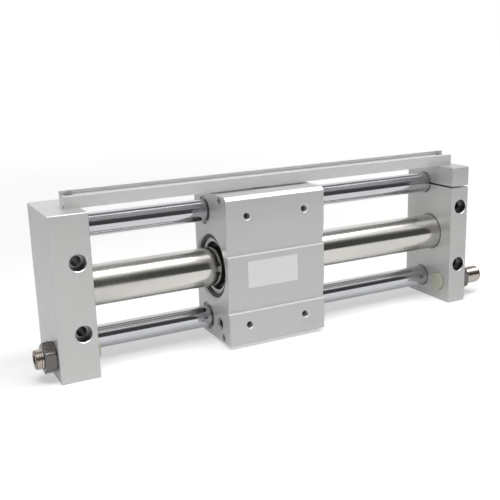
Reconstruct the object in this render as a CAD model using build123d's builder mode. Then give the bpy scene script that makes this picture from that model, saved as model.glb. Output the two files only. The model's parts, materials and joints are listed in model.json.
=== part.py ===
from build123d import *
from math import cos, radians
import os

os.makedirs("parts", exist_ok=True)

# Guided rodless cylinder, magnetically coupled. Millimetres, +X along the stroke from the
# ported end plate to the slit end plate, -Y towards the table face, +Z up.
# The origin is on the floor under the middle of the whole object.

# Cylinder and guide shafts
bore_d = 25.0
tube_wall = 1.4
shaft_d = 16.0
shaft_air_d = 6.0
stroke = 200.0
travel_before = 85.8
shaft_pitch = 79.0
shaft_back = 34.5
tube_back = 26.0

# End plates
plate_height = 110.0
plate_depth = 55.0
plate_a_thick = 26.0
plate_b_thick = 16.5
plate_edge = 0.5
shaft_socket = 14.0
shaft_socket_b = 12.0
tube_socket = 10.0
tube_seal_depth = 5.0
tube_chamber_d = 20.0
tube_chamber = 5.0
tube_chamber_b = 3.0
damper_thick = 6.0
damper_hole_d = 12.0
socket_chamfer = 0.9
shaft_end_chamfer = 0.8
fixing_inset = 9.0
fixing_rise = 47.0
fixing_d = 6.8
fixing_head_d = 11.0
fixing_head_depth = 6.5
mouth_chamfer = 0.4
slit_width = 1.5

# Air ports and the screws that hold the shafts
port_d = 8.6
port_depth = 9.0
port_chamfer = 0.8
air_way_d = 5.0
rear_way_d = 4.0
shaft_screw_d = 6.0
shaft_screw_length = 8.0
shaft_screw_inset = 5.0
shaft_seal_in = 2.8
clamp_screw_d = 4.0
clamp_head_d = 7.0
clamp_head_height = 4.0
clamp_screw_back = 18.7
clamp_screw_inset = 9.0
clamp_screw_length = 20.0
socket_screw_af = 3.0
socket_screw_depth = 2.0
set_screw_af = 3.0

# Slide block
block_length = 77.0
block_top_gap = 1.5
block_depth = 53.5
block_proud = 2.5
block_lift = 2.5
block_top_chamfer = 2.5
block_edge_chamfer = 1.0
ledge_low = 23.3
ledge_high = 64.2
ledge_depth = 2.0
ledge_rise = 0.6
ledge_run = 17.0
table_pitch_x = 45.0
table_pitch_z = 78.0
table_hole_d = 5.0
table_hole_depth = 12.0
table_hole_chamfer = 0.6
end_hole_d = 5.5
end_hole_depth = 10.0
end_hole_back = 8.5
end_hole_edge = 3.6
strike_d = 9.6
strike_length = 9.0
strike_recess = 0.8
strike_socket_af = 5.0
strike_socket_depth = 4.0

# Running gear in the slide block
bushing_wall = 2.0
bushing_length = 22.0
bushing_recess = 1.0
slider_d = 46.0
slider_mouth_chamfer = 1.3
ring_recess = 1.7
ring_thick = 1.75
ring_band = 2.6
ring_groove = 1.1
ring_lug_gap = 9.0
ring_lug_d = 4.4
ring_lug_hole_d = 2.0
ring_lug_over = 0.4
spacer_thick = 4.0
spacer_band = 5.5
sleeve_wall = 1.4
wear_ring_length = 6.0
magnet_length = 10.0
magnet_count = 3
yoke_count = 4
magnet_gap = 0.4
switch_magnet_length = 12.0
switch_magnet_width = 5.0
switch_magnet_height = 3.5

# Piston
rod_d = 8.0
piston_length = 12.0
piston_groove_width = 3.4
piston_groove_depth = 2.2
wear_band_width = 4.0
wear_band_depth = 1.2
piston_land = 1.2
seal_lip = 0.6
nut_height = 4.0
piston_nut_af = 12.0

# Stroke adjusting bolts
bolt_d = 14.0
bolt_back = 13.5
bolt_rise = 15.5
bolt_stub = 13.0
bolt_chamfer = 1.2
bolt_socket_af = 6.0
bolt_socket_depth = 7.0
adjust_reserve = 3.5
lock_nut_af = 19.0
lock_nut_thick = 8.0
nut_corner_trim = 0.985
bumper_d = 13.4
bumper_thick = 4.0
bumper_stem_d = 6.0
bumper_stem_length = 5.0
bumper_stand_left = 3.0
bumper_stand_right = 2.0
bumper_edge = 0.8

# Switch rail
rail_front = 15.3
rail_depth = 13.0
rail_height = 8.0
rail_rim = 5.0
rail_tray = 0.4
rail_lip = 1.8
rail_lip_rise = 2.2
rail_hook = 0.6
rail_hook_height = 1.0
rail_relief_start = 2.1
rail_relief_width = 2.4
rail_relief_depth = 2.3
rail_inset_left = 15.4
rail_inset_right = 5.4
rail_screw_d = 3.0
rail_screw_head_d = 5.6
rail_screw_length = 12.0
rail_screw_inset = 5.3
rail_screw_back = 8.6

# Shapes shared by the fasteners
hex_sides = 6
hex_turn = 30
chamfer_angle = 45
countersink_angle = 90

# Clearances
fit = 0.03
running = 0.05
slip = 0.1
tip_room = 1.0
seal_d = 2.0
seal_groove_width = 2.6

# Places worked out from the sizes above
tube_d = bore_d + 2 * tube_wall
inner_span = block_length + stroke + 2 * adjust_reserve + bumper_stand_left + bumper_stand_right
bolt_length = bolt_stub + plate_a_thick + bumper_stand_left
bolt_stub_right = bolt_length - plate_b_thick - bumper_stand_right
overall_length = bolt_stub + plate_a_thick + inner_span + plate_b_thick + bolt_stub_right
overall_depth = block_proud + plate_depth

bolt_end_left = -overall_length / 2
plate_a_outer = bolt_end_left + bolt_stub
plate_a_inner = plate_a_outer + plate_a_thick
plate_b_inner = plate_a_inner + inner_span
plate_b_outer = plate_b_inner + plate_b_thick
bolt_end_right = plate_b_outer + bolt_stub_right

plate_front = -overall_depth / 2 + block_proud
plate_rear = plate_front + plate_depth
plate_mid_y = (plate_front + plate_rear) / 2
mid_z = plate_height / 2
tube_y = plate_front + tube_back
shaft_y = plate_front + shaft_back
shaft_zs = (mid_z - shaft_pitch / 2, mid_z + shaft_pitch / 2)
bolt_y = plate_front + bolt_back

block_left = plate_a_inner + bumper_stand_left + adjust_reserve + travel_before
block_right = block_left + block_length
block_mid = (block_left + block_right) / 2
block_front = plate_front - block_proud
block_rear = block_front + block_depth
block_bottom = block_lift
block_top = plate_height - block_top_gap
block_mid_z = (block_bottom + block_top) / 2

ring_starts = (block_left + ring_recess, block_right - ring_recess - ring_thick)
spacer_starts = (ring_starts[0] + ring_thick, ring_starts[1] - spacer_thick)
spacer_hole_d = slider_d - 2 * spacer_band
sleeve_left = spacer_starts[0] + spacer_thick
sleeve_right = spacer_starts[1]
sleeve_d = slider_d - 2 * fit
sleeve_bore_d = sleeve_d - 2 * sleeve_wall
stack_left = sleeve_left + wear_ring_length
stack_right = sleeve_right - wear_ring_length
yoke_length = (stack_right - stack_left - magnet_count * magnet_length) / yoke_count
stack_step = yoke_length + magnet_length
yoke_xs = [stack_left + i * stack_step for i in range(yoke_count)]
magnet_xs = [stack_left + yoke_length + i * stack_step for i in range(magnet_count)]
bushing_starts = (
    block_left + bushing_recess,
    block_right - bushing_recess - bushing_length,
)
bushing_d = shaft_d + 2 * running + 2 * bushing_wall

rail_left = plate_a_outer + rail_inset_left
rail_right = plate_b_outer - rail_inset_right
rail_y = plate_front + rail_front
rail_back_y = rail_y + rail_depth
rail_floor_z = plate_height + rail_height - rail_tray
rail_screw_y = rail_y + rail_screw_back
rail_screw_xs = (rail_left + rail_screw_inset, rail_right - rail_screw_inset)
rail_screw_in = rail_screw_length - (rail_floor_z - plate_height)

fixing_xs = (plate_a_inner - fixing_inset, plate_b_inner + fixing_inset)
fixing_zs = (mid_z - fixing_rise / 2, mid_z + fixing_rise / 2)


def section(x):
    """Plane across the stroke at x, with world Y and Z as its own x and y."""
    return Plane.YZ.offset(x)


def facing(y):
    """Plane that looks to the front at y, with world X and Z as its own x and y."""
    return Plane(origin=(0, y, 0), x_dir=(1, 0, 0), z_dir=(0, -1, 0))


def along(y, z):
    """Plane for turned profiles about the line through y, z: x runs along the stroke."""
    return Plane(origin=(0, y, z), x_dir=(1, 0, 0), z_dir=(0, -1, 0))


def stroke_axis(y, z):
    return Axis((0, y, z), (1, 0, 0))


def rings(starts, length, outer_d, inner_d, places):
    """Equal plain rings along the stroke, one for each start and place."""
    with BuildPart() as made:
        for start in starts:
            with BuildSketch(section(start)):
                with Locations(*places):
                    Circle(outer_d / 2)
                    Circle(inner_d / 2, mode=Mode.SUBTRACT)
            extrude(amount=length)
    return made


def o_rings(xs, centre_d, places):
    """Round-section seals about the stroke direction."""
    with BuildPart() as made:
        for x in xs:
            for y, z in places:
                with BuildSketch(along(y, z)):
                    with Locations((x, centre_d / 2)):
                        Circle(seal_d / 2)
                revolve(axis=stroke_axis(y, z))
    return made


def seal_grooves(xs, inner_d, place):
    """Square grooves for round seals, outward from a socket wall, to be cut from a plate."""
    with BuildPart() as made:
        for x in xs:
            with BuildSketch(section(x - seal_groove_width / 2)):
                with Locations(place):
                    Circle(inner_d / 2 + seal_d + slip)
                    Circle(inner_d / 2, mode=Mode.SUBTRACT)
            extrude(amount=seal_groove_width)
    return made


def keep(piece, name):
    piece.part.label = name
    export_step(piece.part, f"parts/{name}.step")


tube_place = (tube_y, mid_z)
shaft_places = [(shaft_y, z) for z in shaft_zs]
lower_shaft, upper_shaft = shaft_places
end_hole_places = [
    (plate_front + end_hole_back, block_bottom + end_hole_edge),
    (plate_front + end_hole_back, block_top - end_hole_edge),
]
table_places = [
    (block_mid + x * table_pitch_x / 2, block_mid_z + z * table_pitch_z / 2)
    for x in (-1, 1)
    for z in (-1, 1)
]
ring_lug_y = tube_y - slider_d / 2 + ring_lug_d / 2 + ring_groove
ring_lug_rise = (ring_lug_gap + ring_lug_d) / 2 - ring_lug_over
ring_lug_places = [(ring_lug_y, mid_z + side * ring_lug_rise) for side in (-1, 1)]
bolt_place = (bolt_y, bolt_rise)

port_mid_x = plate_a_inner - plate_a_thick / 2
tube_end_a = plate_a_inner - tube_socket
tube_end_b = plate_b_inner + tube_socket
shaft_end_a = plate_a_inner - shaft_socket
shaft_end_b = plate_b_inner + shaft_socket_b
tube_seal_xs = (plate_a_inner - tube_seal_depth, plate_b_inner + tube_seal_depth)
shaft_seal_xs = (shaft_end_a + shaft_seal_in, shaft_end_b - shaft_seal_in)
shaft_screw_x = plate_a_inner - shaft_screw_inset
clamp_x = plate_b_outer - clamp_screw_inset
clamp_y = plate_front + clamp_screw_back
slit_z = shaft_zs[1]


# End plate with both air ports. Sockets for the tube and the shafts open to the inside,
# and the thread of the adjusting bolt goes right through.
with BuildPart() as plate_a:
    with BuildSketch(section(plate_a_outer)):
        with Locations((plate_mid_y, mid_z)):
            Rectangle(plate_depth, plate_height)
    extrude(amount=plate_a_thick)
    chamfer(plate_a.edges(), plate_edge)
    with BuildSketch(section(plate_a_inner)):
        with Locations(*shaft_places):
            Circle(shaft_d / 2 + fit)
    extrude(amount=-shaft_socket, mode=Mode.SUBTRACT)
    with BuildSketch(section(plate_a_inner)):
        with Locations(*shaft_places):
            Circle(shaft_d / 2 + socket_chamfer)
    extrude(amount=-socket_chamfer, taper=chamfer_angle, mode=Mode.SUBTRACT)
    with BuildSketch(section(plate_a_inner)):
        with Locations(tube_place):
            Circle(tube_d / 2 + fit)
    extrude(amount=-tube_socket, mode=Mode.SUBTRACT)
    with BuildSketch(section(plate_a_inner)):
        with Locations(tube_place):
            Circle(tube_d / 2 + socket_chamfer)
    extrude(amount=-socket_chamfer, taper=chamfer_angle, mode=Mode.SUBTRACT)
    with BuildSketch(section(tube_end_a)):
        with Locations(tube_place):
            Circle(tube_chamber_d / 2)
    extrude(amount=-tube_chamber, mode=Mode.SUBTRACT)
    with BuildSketch(section(plate_a_outer)):
        with Locations(bolt_place):
            Circle(bolt_d / 2 + running)
    extrude(amount=plate_a_thick, mode=Mode.SUBTRACT)
    with BuildSketch(section(plate_a_outer)):
        with Locations(lower_shaft):
            Circle(port_d / 2)
    extrude(amount=port_depth, mode=Mode.SUBTRACT)
    with BuildSketch(section(plate_a_outer)):
        with Locations(lower_shaft):
            Circle(port_d / 2 + port_chamfer)
    extrude(amount=port_chamfer, taper=chamfer_angle, mode=Mode.SUBTRACT)
    with BuildSketch(section(plate_a_outer)):
        with Locations(lower_shaft):
            Circle(air_way_d / 2)
    extrude(amount=plate_a_thick - shaft_socket, mode=Mode.SUBTRACT)
    with BuildSketch(facing(plate_rear)):
        with Locations((port_mid_x, mid_z)):
            Circle(port_d / 2)
    extrude(amount=port_depth, mode=Mode.SUBTRACT)
    with BuildSketch(facing(plate_rear)):
        with Locations((port_mid_x, mid_z)):
            Circle(port_d / 2 + port_chamfer)
    extrude(amount=port_chamfer, taper=chamfer_angle, mode=Mode.SUBTRACT)
    with BuildSketch(facing(plate_rear)):
        with Locations((tube_end_a - tube_chamber / 2, mid_z)):
            Circle(rear_way_d / 2)
    extrude(amount=plate_rear - tube_y, mode=Mode.SUBTRACT)
    with Locations(facing(plate_front)):
        with Locations(*[(fixing_xs[0], z) for z in fixing_zs]):
            CounterBoreHole(fixing_d / 2, fixing_head_d / 2, fixing_head_depth, plate_depth)
    with BuildSketch(facing(plate_front)):
        with Locations(*[(fixing_xs[0], z) for z in fixing_zs]):
            Circle(fixing_head_d / 2 + mouth_chamfer)
    extrude(amount=-mouth_chamfer, taper=chamfer_angle, mode=Mode.SUBTRACT)
    with BuildSketch(facing(plate_rear)):
        with Locations(*[(shaft_screw_x, z) for z in shaft_zs]):
            Circle(shaft_screw_d / 2 + fit)
    extrude(amount=plate_rear - shaft_y, mode=Mode.SUBTRACT)
    with BuildSketch(Plane.XY.offset(plate_height)):
        with Locations((rail_screw_xs[0], rail_screw_y)):
            Circle(rail_screw_d / 2 + fit)
    extrude(amount=-rail_screw_in, mode=Mode.SUBTRACT)
    add(seal_grooves(tube_seal_xs[:1], tube_d, tube_place).part, mode=Mode.SUBTRACT)
    add(seal_grooves(shaft_seal_xs[:1], shaft_d, lower_shaft).part, mode=Mode.SUBTRACT)
keep(plate_a, "plate_a")

# End plate with the pinch slit: the upper shaft goes right through and is clamped there, and
# the hollow lower shaft ends in a closed socket.
with BuildPart() as plate_b:
    with BuildSketch(section(plate_b_inner)):
        with Locations((plate_mid_y, mid_z)):
            Rectangle(plate_depth, plate_height)
    extrude(amount=plate_b_thick)
    chamfer(plate_b.edges(), plate_edge)
    with BuildSketch(section(plate_b_inner)):
        with Locations(lower_shaft):
            Circle(shaft_d / 2 + fit)
    extrude(amount=shaft_socket_b, mode=Mode.SUBTRACT)
    with BuildSketch(section(plate_b_inner)):
        with Locations(upper_shaft):
            Circle(shaft_d / 2 + fit)
    extrude(amount=plate_b_thick, mode=Mode.SUBTRACT)
    with BuildSketch(section(plate_b_inner)):
        with Locations(*shaft_places):
            Circle(shaft_d / 2 + socket_chamfer)
    extrude(amount=socket_chamfer, taper=chamfer_angle, mode=Mode.SUBTRACT)
    with BuildSketch(section(plate_b_inner)):
        with Locations(tube_place):
            Circle(tube_d / 2 + fit)
    extrude(amount=tube_socket, mode=Mode.SUBTRACT)
    with BuildSketch(section(plate_b_inner)):
        with Locations(tube_place):
            Circle(tube_d / 2 + socket_chamfer)
    extrude(amount=socket_chamfer, taper=chamfer_angle, mode=Mode.SUBTRACT)
    with BuildSketch(section(tube_end_b)):
        with Locations(tube_place):
            Circle(tube_chamber_d / 2)
    extrude(amount=tube_chamber_b, mode=Mode.SUBTRACT)
    with BuildSketch(section(plate_b_inner)):
        with Locations(bolt_place):
            Circle(bolt_d / 2 + running)
    extrude(amount=plate_b_thick, mode=Mode.SUBTRACT)
    with BuildSketch(facing(plate_front)):
        with Locations(((plate_b_inner + plate_b_outer) / 2, slit_z)):
            Rectangle(plate_b_thick, slit_width)
    extrude(amount=plate_front - shaft_y, mode=Mode.SUBTRACT)
    with Locations(facing(plate_front)):
        with Locations(*[(fixing_xs[1], z) for z in fixing_zs]):
            CounterBoreHole(fixing_d / 2, fixing_head_d / 2, fixing_head_depth, plate_depth)
    with BuildSketch(facing(plate_front)):
        with Locations(*[(fixing_xs[1], z) for z in fixing_zs]):
            Circle(fixing_head_d / 2 + mouth_chamfer)
    extrude(amount=-mouth_chamfer, taper=chamfer_angle, mode=Mode.SUBTRACT)
    with BuildSketch(Plane.XY.offset(plate_height)):
        with Locations((clamp_x, clamp_y)):
            Circle(clamp_screw_d / 2 + fit)
    extrude(amount=-clamp_screw_length - clamp_head_height - tip_room, mode=Mode.SUBTRACT)
    with BuildSketch(Plane.XY.offset(plate_height)):
        with Locations((clamp_x, clamp_y)):
            Circle(clamp_head_d / 2 + slip)
    extrude(amount=-clamp_head_height - slip, mode=Mode.SUBTRACT)
    with BuildSketch(Plane.XY.offset(plate_height)):
        with Locations((rail_screw_xs[1], rail_screw_y)):
            Circle(rail_screw_d / 2 + fit)
    extrude(amount=-rail_screw_in, mode=Mode.SUBTRACT)
    add(seal_grooves(tube_seal_xs[1:], tube_d, tube_place).part, mode=Mode.SUBTRACT)
    add(seal_grooves(shaft_seal_xs[1:], shaft_d, lower_shaft).part, mode=Mode.SUBTRACT)
keep(plate_b, "plate_b")

# Tube and shafts
with BuildPart() as cylinder_tube:
    with BuildSketch(section(tube_end_a)):
        with Locations(tube_place):
            Circle(tube_d / 2)
            Circle(bore_d / 2, mode=Mode.SUBTRACT)
    extrude(amount=tube_end_b - tube_end_a)
keep(cylinder_tube, "cylinder_tube")

with BuildPart() as guide_shaft_lower:
    with BuildSketch(section(shaft_end_a)):
        with Locations(lower_shaft):
            Circle(shaft_d / 2)
    extrude(amount=shaft_end_b - shaft_end_a)
    chamfer(guide_shaft_lower.edges().filter_by(GeomType.CIRCLE), shaft_end_chamfer)
    with BuildSketch(section(shaft_end_a)):
        with Locations(lower_shaft):
            Circle(shaft_air_d / 2)
    extrude(amount=shaft_end_b - shaft_end_a, mode=Mode.SUBTRACT)
keep(guide_shaft_lower, "guide_shaft_lower")

with BuildPart() as guide_shaft_upper:
    with BuildSketch(section(shaft_end_a)):
        with Locations(upper_shaft):
            Circle(shaft_d / 2)
    extrude(amount=plate_b_outer - shaft_end_a - plate_edge)
    chamfer(guide_shaft_upper.edges().filter_by(GeomType.CIRCLE), shaft_end_chamfer)
keep(guide_shaft_upper, "guide_shaft_upper")

# Seals and dampers in the plates
keep(o_rings(tube_seal_xs, tube_d + seal_d + slip, [tube_place]), "tube_seals")
keep(o_rings(shaft_seal_xs, shaft_d + seal_d + slip, [lower_shaft]), "shaft_seals")
damper_starts = (tube_end_a, tube_end_b - damper_thick)
keep(rings(damper_starts, damper_thick, bore_d - 2 * fit, damper_hole_d, [tube_place]), "tube_dampers")

# Slide block: the front is the mounting table, with two shallow upward ledges along it
with BuildPart() as slide_block:
    with BuildSketch(section(block_left)):
        with BuildLine():
            Polyline(
                (block_front + block_edge_chamfer, block_bottom),
                (block_front, block_bottom + block_edge_chamfer),
                (block_front, block_bottom + ledge_low),
                (block_front + ledge_depth, block_bottom + ledge_low + ledge_rise),
                (block_front, block_bottom + ledge_low + ledge_rise + ledge_run),
                (block_front, block_bottom + ledge_high),
                (block_front + ledge_depth, block_bottom + ledge_high + ledge_rise),
                (block_front, block_bottom + ledge_high + ledge_rise + ledge_run),
                (block_front, block_top - block_top_chamfer),
                (block_front + block_top_chamfer, block_top),
                (block_rear - block_edge_chamfer, block_top),
                (block_rear, block_top - block_edge_chamfer),
                (block_rear, block_bottom + block_edge_chamfer),
                (block_rear - block_edge_chamfer, block_bottom),
                close=True,
            )
        make_face()
    extrude(amount=block_length)
    with BuildSketch(section(block_left)):
        with Locations(tube_place):
            Circle(slider_d / 2)
    extrude(amount=block_length, mode=Mode.SUBTRACT)
    for mouth_x, inward in ((block_left, 1), (block_right, -1)):
        with BuildSketch(section(mouth_x)):
            with Locations(tube_place):
                Circle(slider_d / 2 + slider_mouth_chamfer)
        extrude(amount=inward * slider_mouth_chamfer, taper=chamfer_angle, mode=Mode.SUBTRACT)
        with BuildSketch(section(mouth_x)):
            with Locations(*shaft_places):
                Circle(bushing_d / 2 + fit)
        extrude(amount=inward * (bushing_recess + bushing_length), mode=Mode.SUBTRACT)
        with BuildSketch(section(mouth_x)):
            with Locations(bolt_place):
                Circle(strike_d / 2 + fit)
        extrude(amount=inward * (strike_recess + strike_length), mode=Mode.SUBTRACT)
        with BuildSketch(section(mouth_x)):
            with Locations(*end_hole_places):
                Circle(end_hole_d / 2)
        extrude(amount=inward * end_hole_depth, mode=Mode.SUBTRACT)
    with BuildSketch(section(block_left)):
        with Locations(*shaft_places):
            Circle(shaft_d / 2 + bushing_wall / 2)
    extrude(amount=block_length, mode=Mode.SUBTRACT)
    for start in ring_starts:
        with BuildSketch(section(start)):
            with Locations(tube_place):
                Circle(slider_d / 2 + ring_groove)
        extrude(amount=ring_thick, mode=Mode.SUBTRACT)
    with Locations(facing(block_front)):
        with Locations(*table_places):
            Hole(table_hole_d / 2, table_hole_depth)
    with BuildSketch(facing(block_front)):
        with Locations(*table_places):
            Circle(table_hole_d / 2 + table_hole_chamfer)
    extrude(amount=-table_hole_chamfer, taper=chamfer_angle, mode=Mode.SUBTRACT)
    with BuildSketch(Plane.XY.offset(block_top)):
        with Locations((block_mid, rail_y + rail_depth / 2)):
            Rectangle(switch_magnet_length + 2 * fit, switch_magnet_width + 2 * fit)
    extrude(amount=-switch_magnet_height - fit, mode=Mode.SUBTRACT)
keep(slide_block, "slide_block")

with BuildPart() as switch_magnet:
    with BuildSketch(Plane.XY.offset(block_top)):
        with Locations((block_mid, rail_y + rail_depth / 2)):
            Rectangle(switch_magnet_length, switch_magnet_width)
    extrude(amount=-switch_magnet_height)
keep(switch_magnet, "switch_magnet")

# Bushings that run on the shafts
for name, place in (("lower_bushings", lower_shaft), ("upper_bushings", upper_shaft)):
    keep(rings(bushing_starts, bushing_length, bushing_d, shaft_d + 2 * running, [place]), name)

# Strike screws that meet the bumpers, one in each end of the block
strike_faces = ((block_left + strike_recess, 1), (block_right - strike_recess, -1))
with BuildPart() as strike_screws:
    for face_x, inward in strike_faces:
        with BuildSketch(section(face_x)):
            with Locations(bolt_place):
                Circle(strike_d / 2)
        extrude(amount=inward * strike_length)
        with BuildSketch(section(face_x)):
            with Locations(bolt_place):
                RegularPolygon(strike_socket_af / 2, hex_sides, major_radius=False)
        extrude(amount=inward * strike_socket_depth, mode=Mode.SUBTRACT)
keep(strike_screws, "strike_screws")

# Magnet slider in the bore of the block
keep(rings([sleeve_left], sleeve_right - sleeve_left, sleeve_d, sleeve_bore_d, [tube_place]), "slider_sleeve")
keep(
    rings(
        (sleeve_left, stack_right),
        wear_ring_length,
        sleeve_bore_d - 2 * fit,
        tube_d + 2 * running,
        [tube_place],
    ),
    "slider_wear_rings",
)
outer_ring_d = sleeve_bore_d - 2 * fit
outer_gap_d = tube_d + 2 * magnet_gap
keep(rings(magnet_xs, magnet_length, outer_ring_d, outer_gap_d, [tube_place]), "outer_magnets")
keep(rings(yoke_xs, yoke_length, outer_ring_d, outer_gap_d, [tube_place]), "outer_yokes")
keep(rings(spacer_starts, spacer_thick, sleeve_d, spacer_hole_d, [tube_place]), "end_spacers")

# Open retaining rings with their two lugs, gap towards the table
ring_outer_r = slider_d / 2 + ring_groove - fit
ring_inner_r = slider_d / 2 - ring_band
with BuildPart() as retaining_rings:
    for start in ring_starts:
        with BuildSketch(section(start)):
            with Locations(tube_place):
                Circle(ring_outer_r)
                Circle(ring_inner_r, mode=Mode.SUBTRACT)
                with Locations((-ring_outer_r, 0)):
                    Rectangle(ring_outer_r, ring_lug_gap, mode=Mode.SUBTRACT)
            with Locations(*ring_lug_places):
                Circle(ring_lug_d / 2)
                Circle(ring_lug_hole_d / 2, mode=Mode.SUBTRACT)
        extrude(amount=ring_thick)
keep(retaining_rings, "retaining_rings")

# Piston inside the tube: the same magnet stack as the slider, held between two pistons
inner_stack_d = bore_d - 4 * slip
piston_starts = (stack_left - piston_length, stack_right)
rod_left = piston_starts[0] - nut_height - tip_room
rod_right = piston_starts[1] + piston_length + nut_height + tip_room
keep(rings(magnet_xs, magnet_length, inner_stack_d, rod_d + 2 * fit, [tube_place]), "inner_magnets")
keep(rings(yoke_xs, yoke_length, inner_stack_d, rod_d + 2 * fit, [tube_place]), "inner_yokes")

with BuildPart() as piston_rod:
    with BuildSketch(section(rod_left)):
        with Locations(tube_place):
            Circle(rod_d / 2)
    extrude(amount=rod_right - rod_left)
    chamfer(piston_rod.edges().filter_by(GeomType.CIRCLE), shaft_end_chamfer)
keep(piston_rod, "piston_rod")

# Each groove is set in from the piston's outer end, first the seal and then the wear band
band_groove_in = 2 * piston_land + piston_groove_width
piston_outer_ends = ((piston_starts[0], 1), (piston_starts[1] + piston_length, -1))
piston_d = bore_d - 2 * slip
with BuildPart() as pistons:
    for end_x, inward in piston_outer_ends:
        with BuildSketch(section(end_x)):
            with Locations(tube_place):
                Circle(piston_d / 2)
                Circle(rod_d / 2 + fit, mode=Mode.SUBTRACT)
        extrude(amount=inward * piston_length)
        with BuildSketch(section(end_x + inward * piston_land)):
            with Locations(tube_place):
                Circle(piston_d / 2)
                Circle(piston_d / 2 - piston_groove_depth, mode=Mode.SUBTRACT)
        extrude(amount=inward * piston_groove_width, mode=Mode.SUBTRACT)
        with BuildSketch(section(end_x + inward * band_groove_in)):
            with Locations(tube_place):
                Circle(piston_d / 2)
                Circle(piston_d / 2 - wear_band_depth, mode=Mode.SUBTRACT)
        extrude(amount=inward * wear_band_width, mode=Mode.SUBTRACT)
keep(pistons, "pistons")

# Lip seals: a body that fills the groove and a lip that flares to the bore at the outer end
seal_bore_d = bore_d - 2 * running
with BuildPart() as piston_seals:
    for end_x, inward in piston_outer_ends:
        seal_x = end_x + inward * (piston_land + fit)
        seal_end_x = end_x + inward * (piston_land + piston_groove_width - fit)
        with BuildSketch(along(*tube_place)):
            with BuildLine():
                Polyline(
                    (seal_x, piston_d / 2 - piston_groove_depth + fit),
                    (seal_x, piston_d / 2 - piston_groove_depth / 2),
                    (seal_x + inward * seal_lip, seal_bore_d / 2),
                    (seal_x + inward * 2 * seal_lip, seal_bore_d / 2),
                    (seal_end_x, piston_d / 2 - seal_lip),
                    (seal_end_x, piston_d / 2 - piston_groove_depth + fit),
                    close=True,
                )
            make_face()
        revolve(axis=stroke_axis(*tube_place))
keep(piston_seals, "piston_seals")

band_starts = (
    piston_starts[0] + band_groove_in + fit,
    piston_starts[1] + piston_length - band_groove_in - wear_band_width + fit,
)
keep(
    rings(
        band_starts,
        wear_band_width - 2 * fit,
        bore_d - 2 * running,
        piston_d - 2 * wear_band_depth + 2 * fit,
        [tube_place],
    ),
    "piston_wear_bands",
)

with BuildPart() as piston_nuts:
    for end_x, inward in piston_outer_ends:
        with BuildSketch(section(end_x)):
            with Locations(tube_place):
                RegularPolygon(piston_nut_af / 2, hex_sides, major_radius=False)
                Circle(rod_d / 2 + fit, mode=Mode.SUBTRACT)
        extrude(amount=-inward * nut_height)
keep(piston_nuts, "piston_nuts")

# Stroke adjusting bolts, their bumpers and their lock nuts
bolt_face_left = plate_a_inner + bumper_stand_left
bolt_face_right = plate_b_inner - bumper_stand_right
bolt_ends = {
    "left": (bolt_end_left, bolt_face_left, 1),
    "right": (bolt_end_right, bolt_face_right, -1),
}
for side, (end_x, face_x, inward) in bolt_ends.items():
    metal_x = face_x - inward * bumper_thick
    metal_length = abs(metal_x - end_x)
    with BuildPart() as bolt:
        with BuildSketch(section(end_x)):
            with Locations(bolt_place):
                Circle(bolt_d / 2)
        extrude(amount=inward * metal_length)
        chamfer(bolt.edges().filter_by(GeomType.CIRCLE), bolt_chamfer)
        with BuildSketch(section(end_x)):
            with Locations(bolt_place):
                RegularPolygon(bolt_socket_af / 2, hex_sides, major_radius=False)
        extrude(amount=inward * bolt_socket_depth, mode=Mode.SUBTRACT)
        with BuildSketch(section(metal_x)):
            with Locations(bolt_place):
                Circle(bumper_stem_d / 2 + fit)
        extrude(amount=-inward * (bumper_stem_length + fit), mode=Mode.SUBTRACT)
    keep(bolt, f"adjusting_bolt_{side}")

    with BuildPart() as bumper:
        with BuildSketch(section(metal_x)):
            with Locations(bolt_place):
                Circle(bumper_d / 2)
        extrude(amount=inward * bumper_thick)
        face_edges = bumper.edges().filter_by(GeomType.CIRCLE).sort_by(Axis.X)
        fillet(face_edges[-1 if inward > 0 else 0], bumper_edge)
        with BuildSketch(section(metal_x)):
            with Locations(bolt_place):
                Circle(bumper_stem_d / 2)
        extrude(amount=-inward * bumper_stem_length)
    keep(bumper, f"bumper_{side}")

nut_corner_d = lock_nut_af / cos(radians(hex_turn)) * nut_corner_trim
for side, seat_x, outward in (("left", plate_a_outer, -1), ("right", plate_b_outer, 1)):
    with BuildPart() as lock_nut:
        with BuildSketch(section(seat_x)):
            with Locations(bolt_place):
                RegularPolygon(lock_nut_af / 2, hex_sides, major_radius=False, rotation=hex_turn)
        extrude(amount=outward * lock_nut_thick)
        with BuildSketch(section(seat_x)):
            with Locations(bolt_place):
                Circle(nut_corner_d / 2)
        extrude(amount=outward * lock_nut_thick, mode=Mode.INTERSECT)
        with BuildSketch(section(seat_x)):
            with Locations(bolt_place):
                Circle(bolt_d / 2 + running)
        extrude(amount=outward * lock_nut_thick, mode=Mode.SUBTRACT)
    keep(lock_nut, f"lock_nut_{side}")

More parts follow.
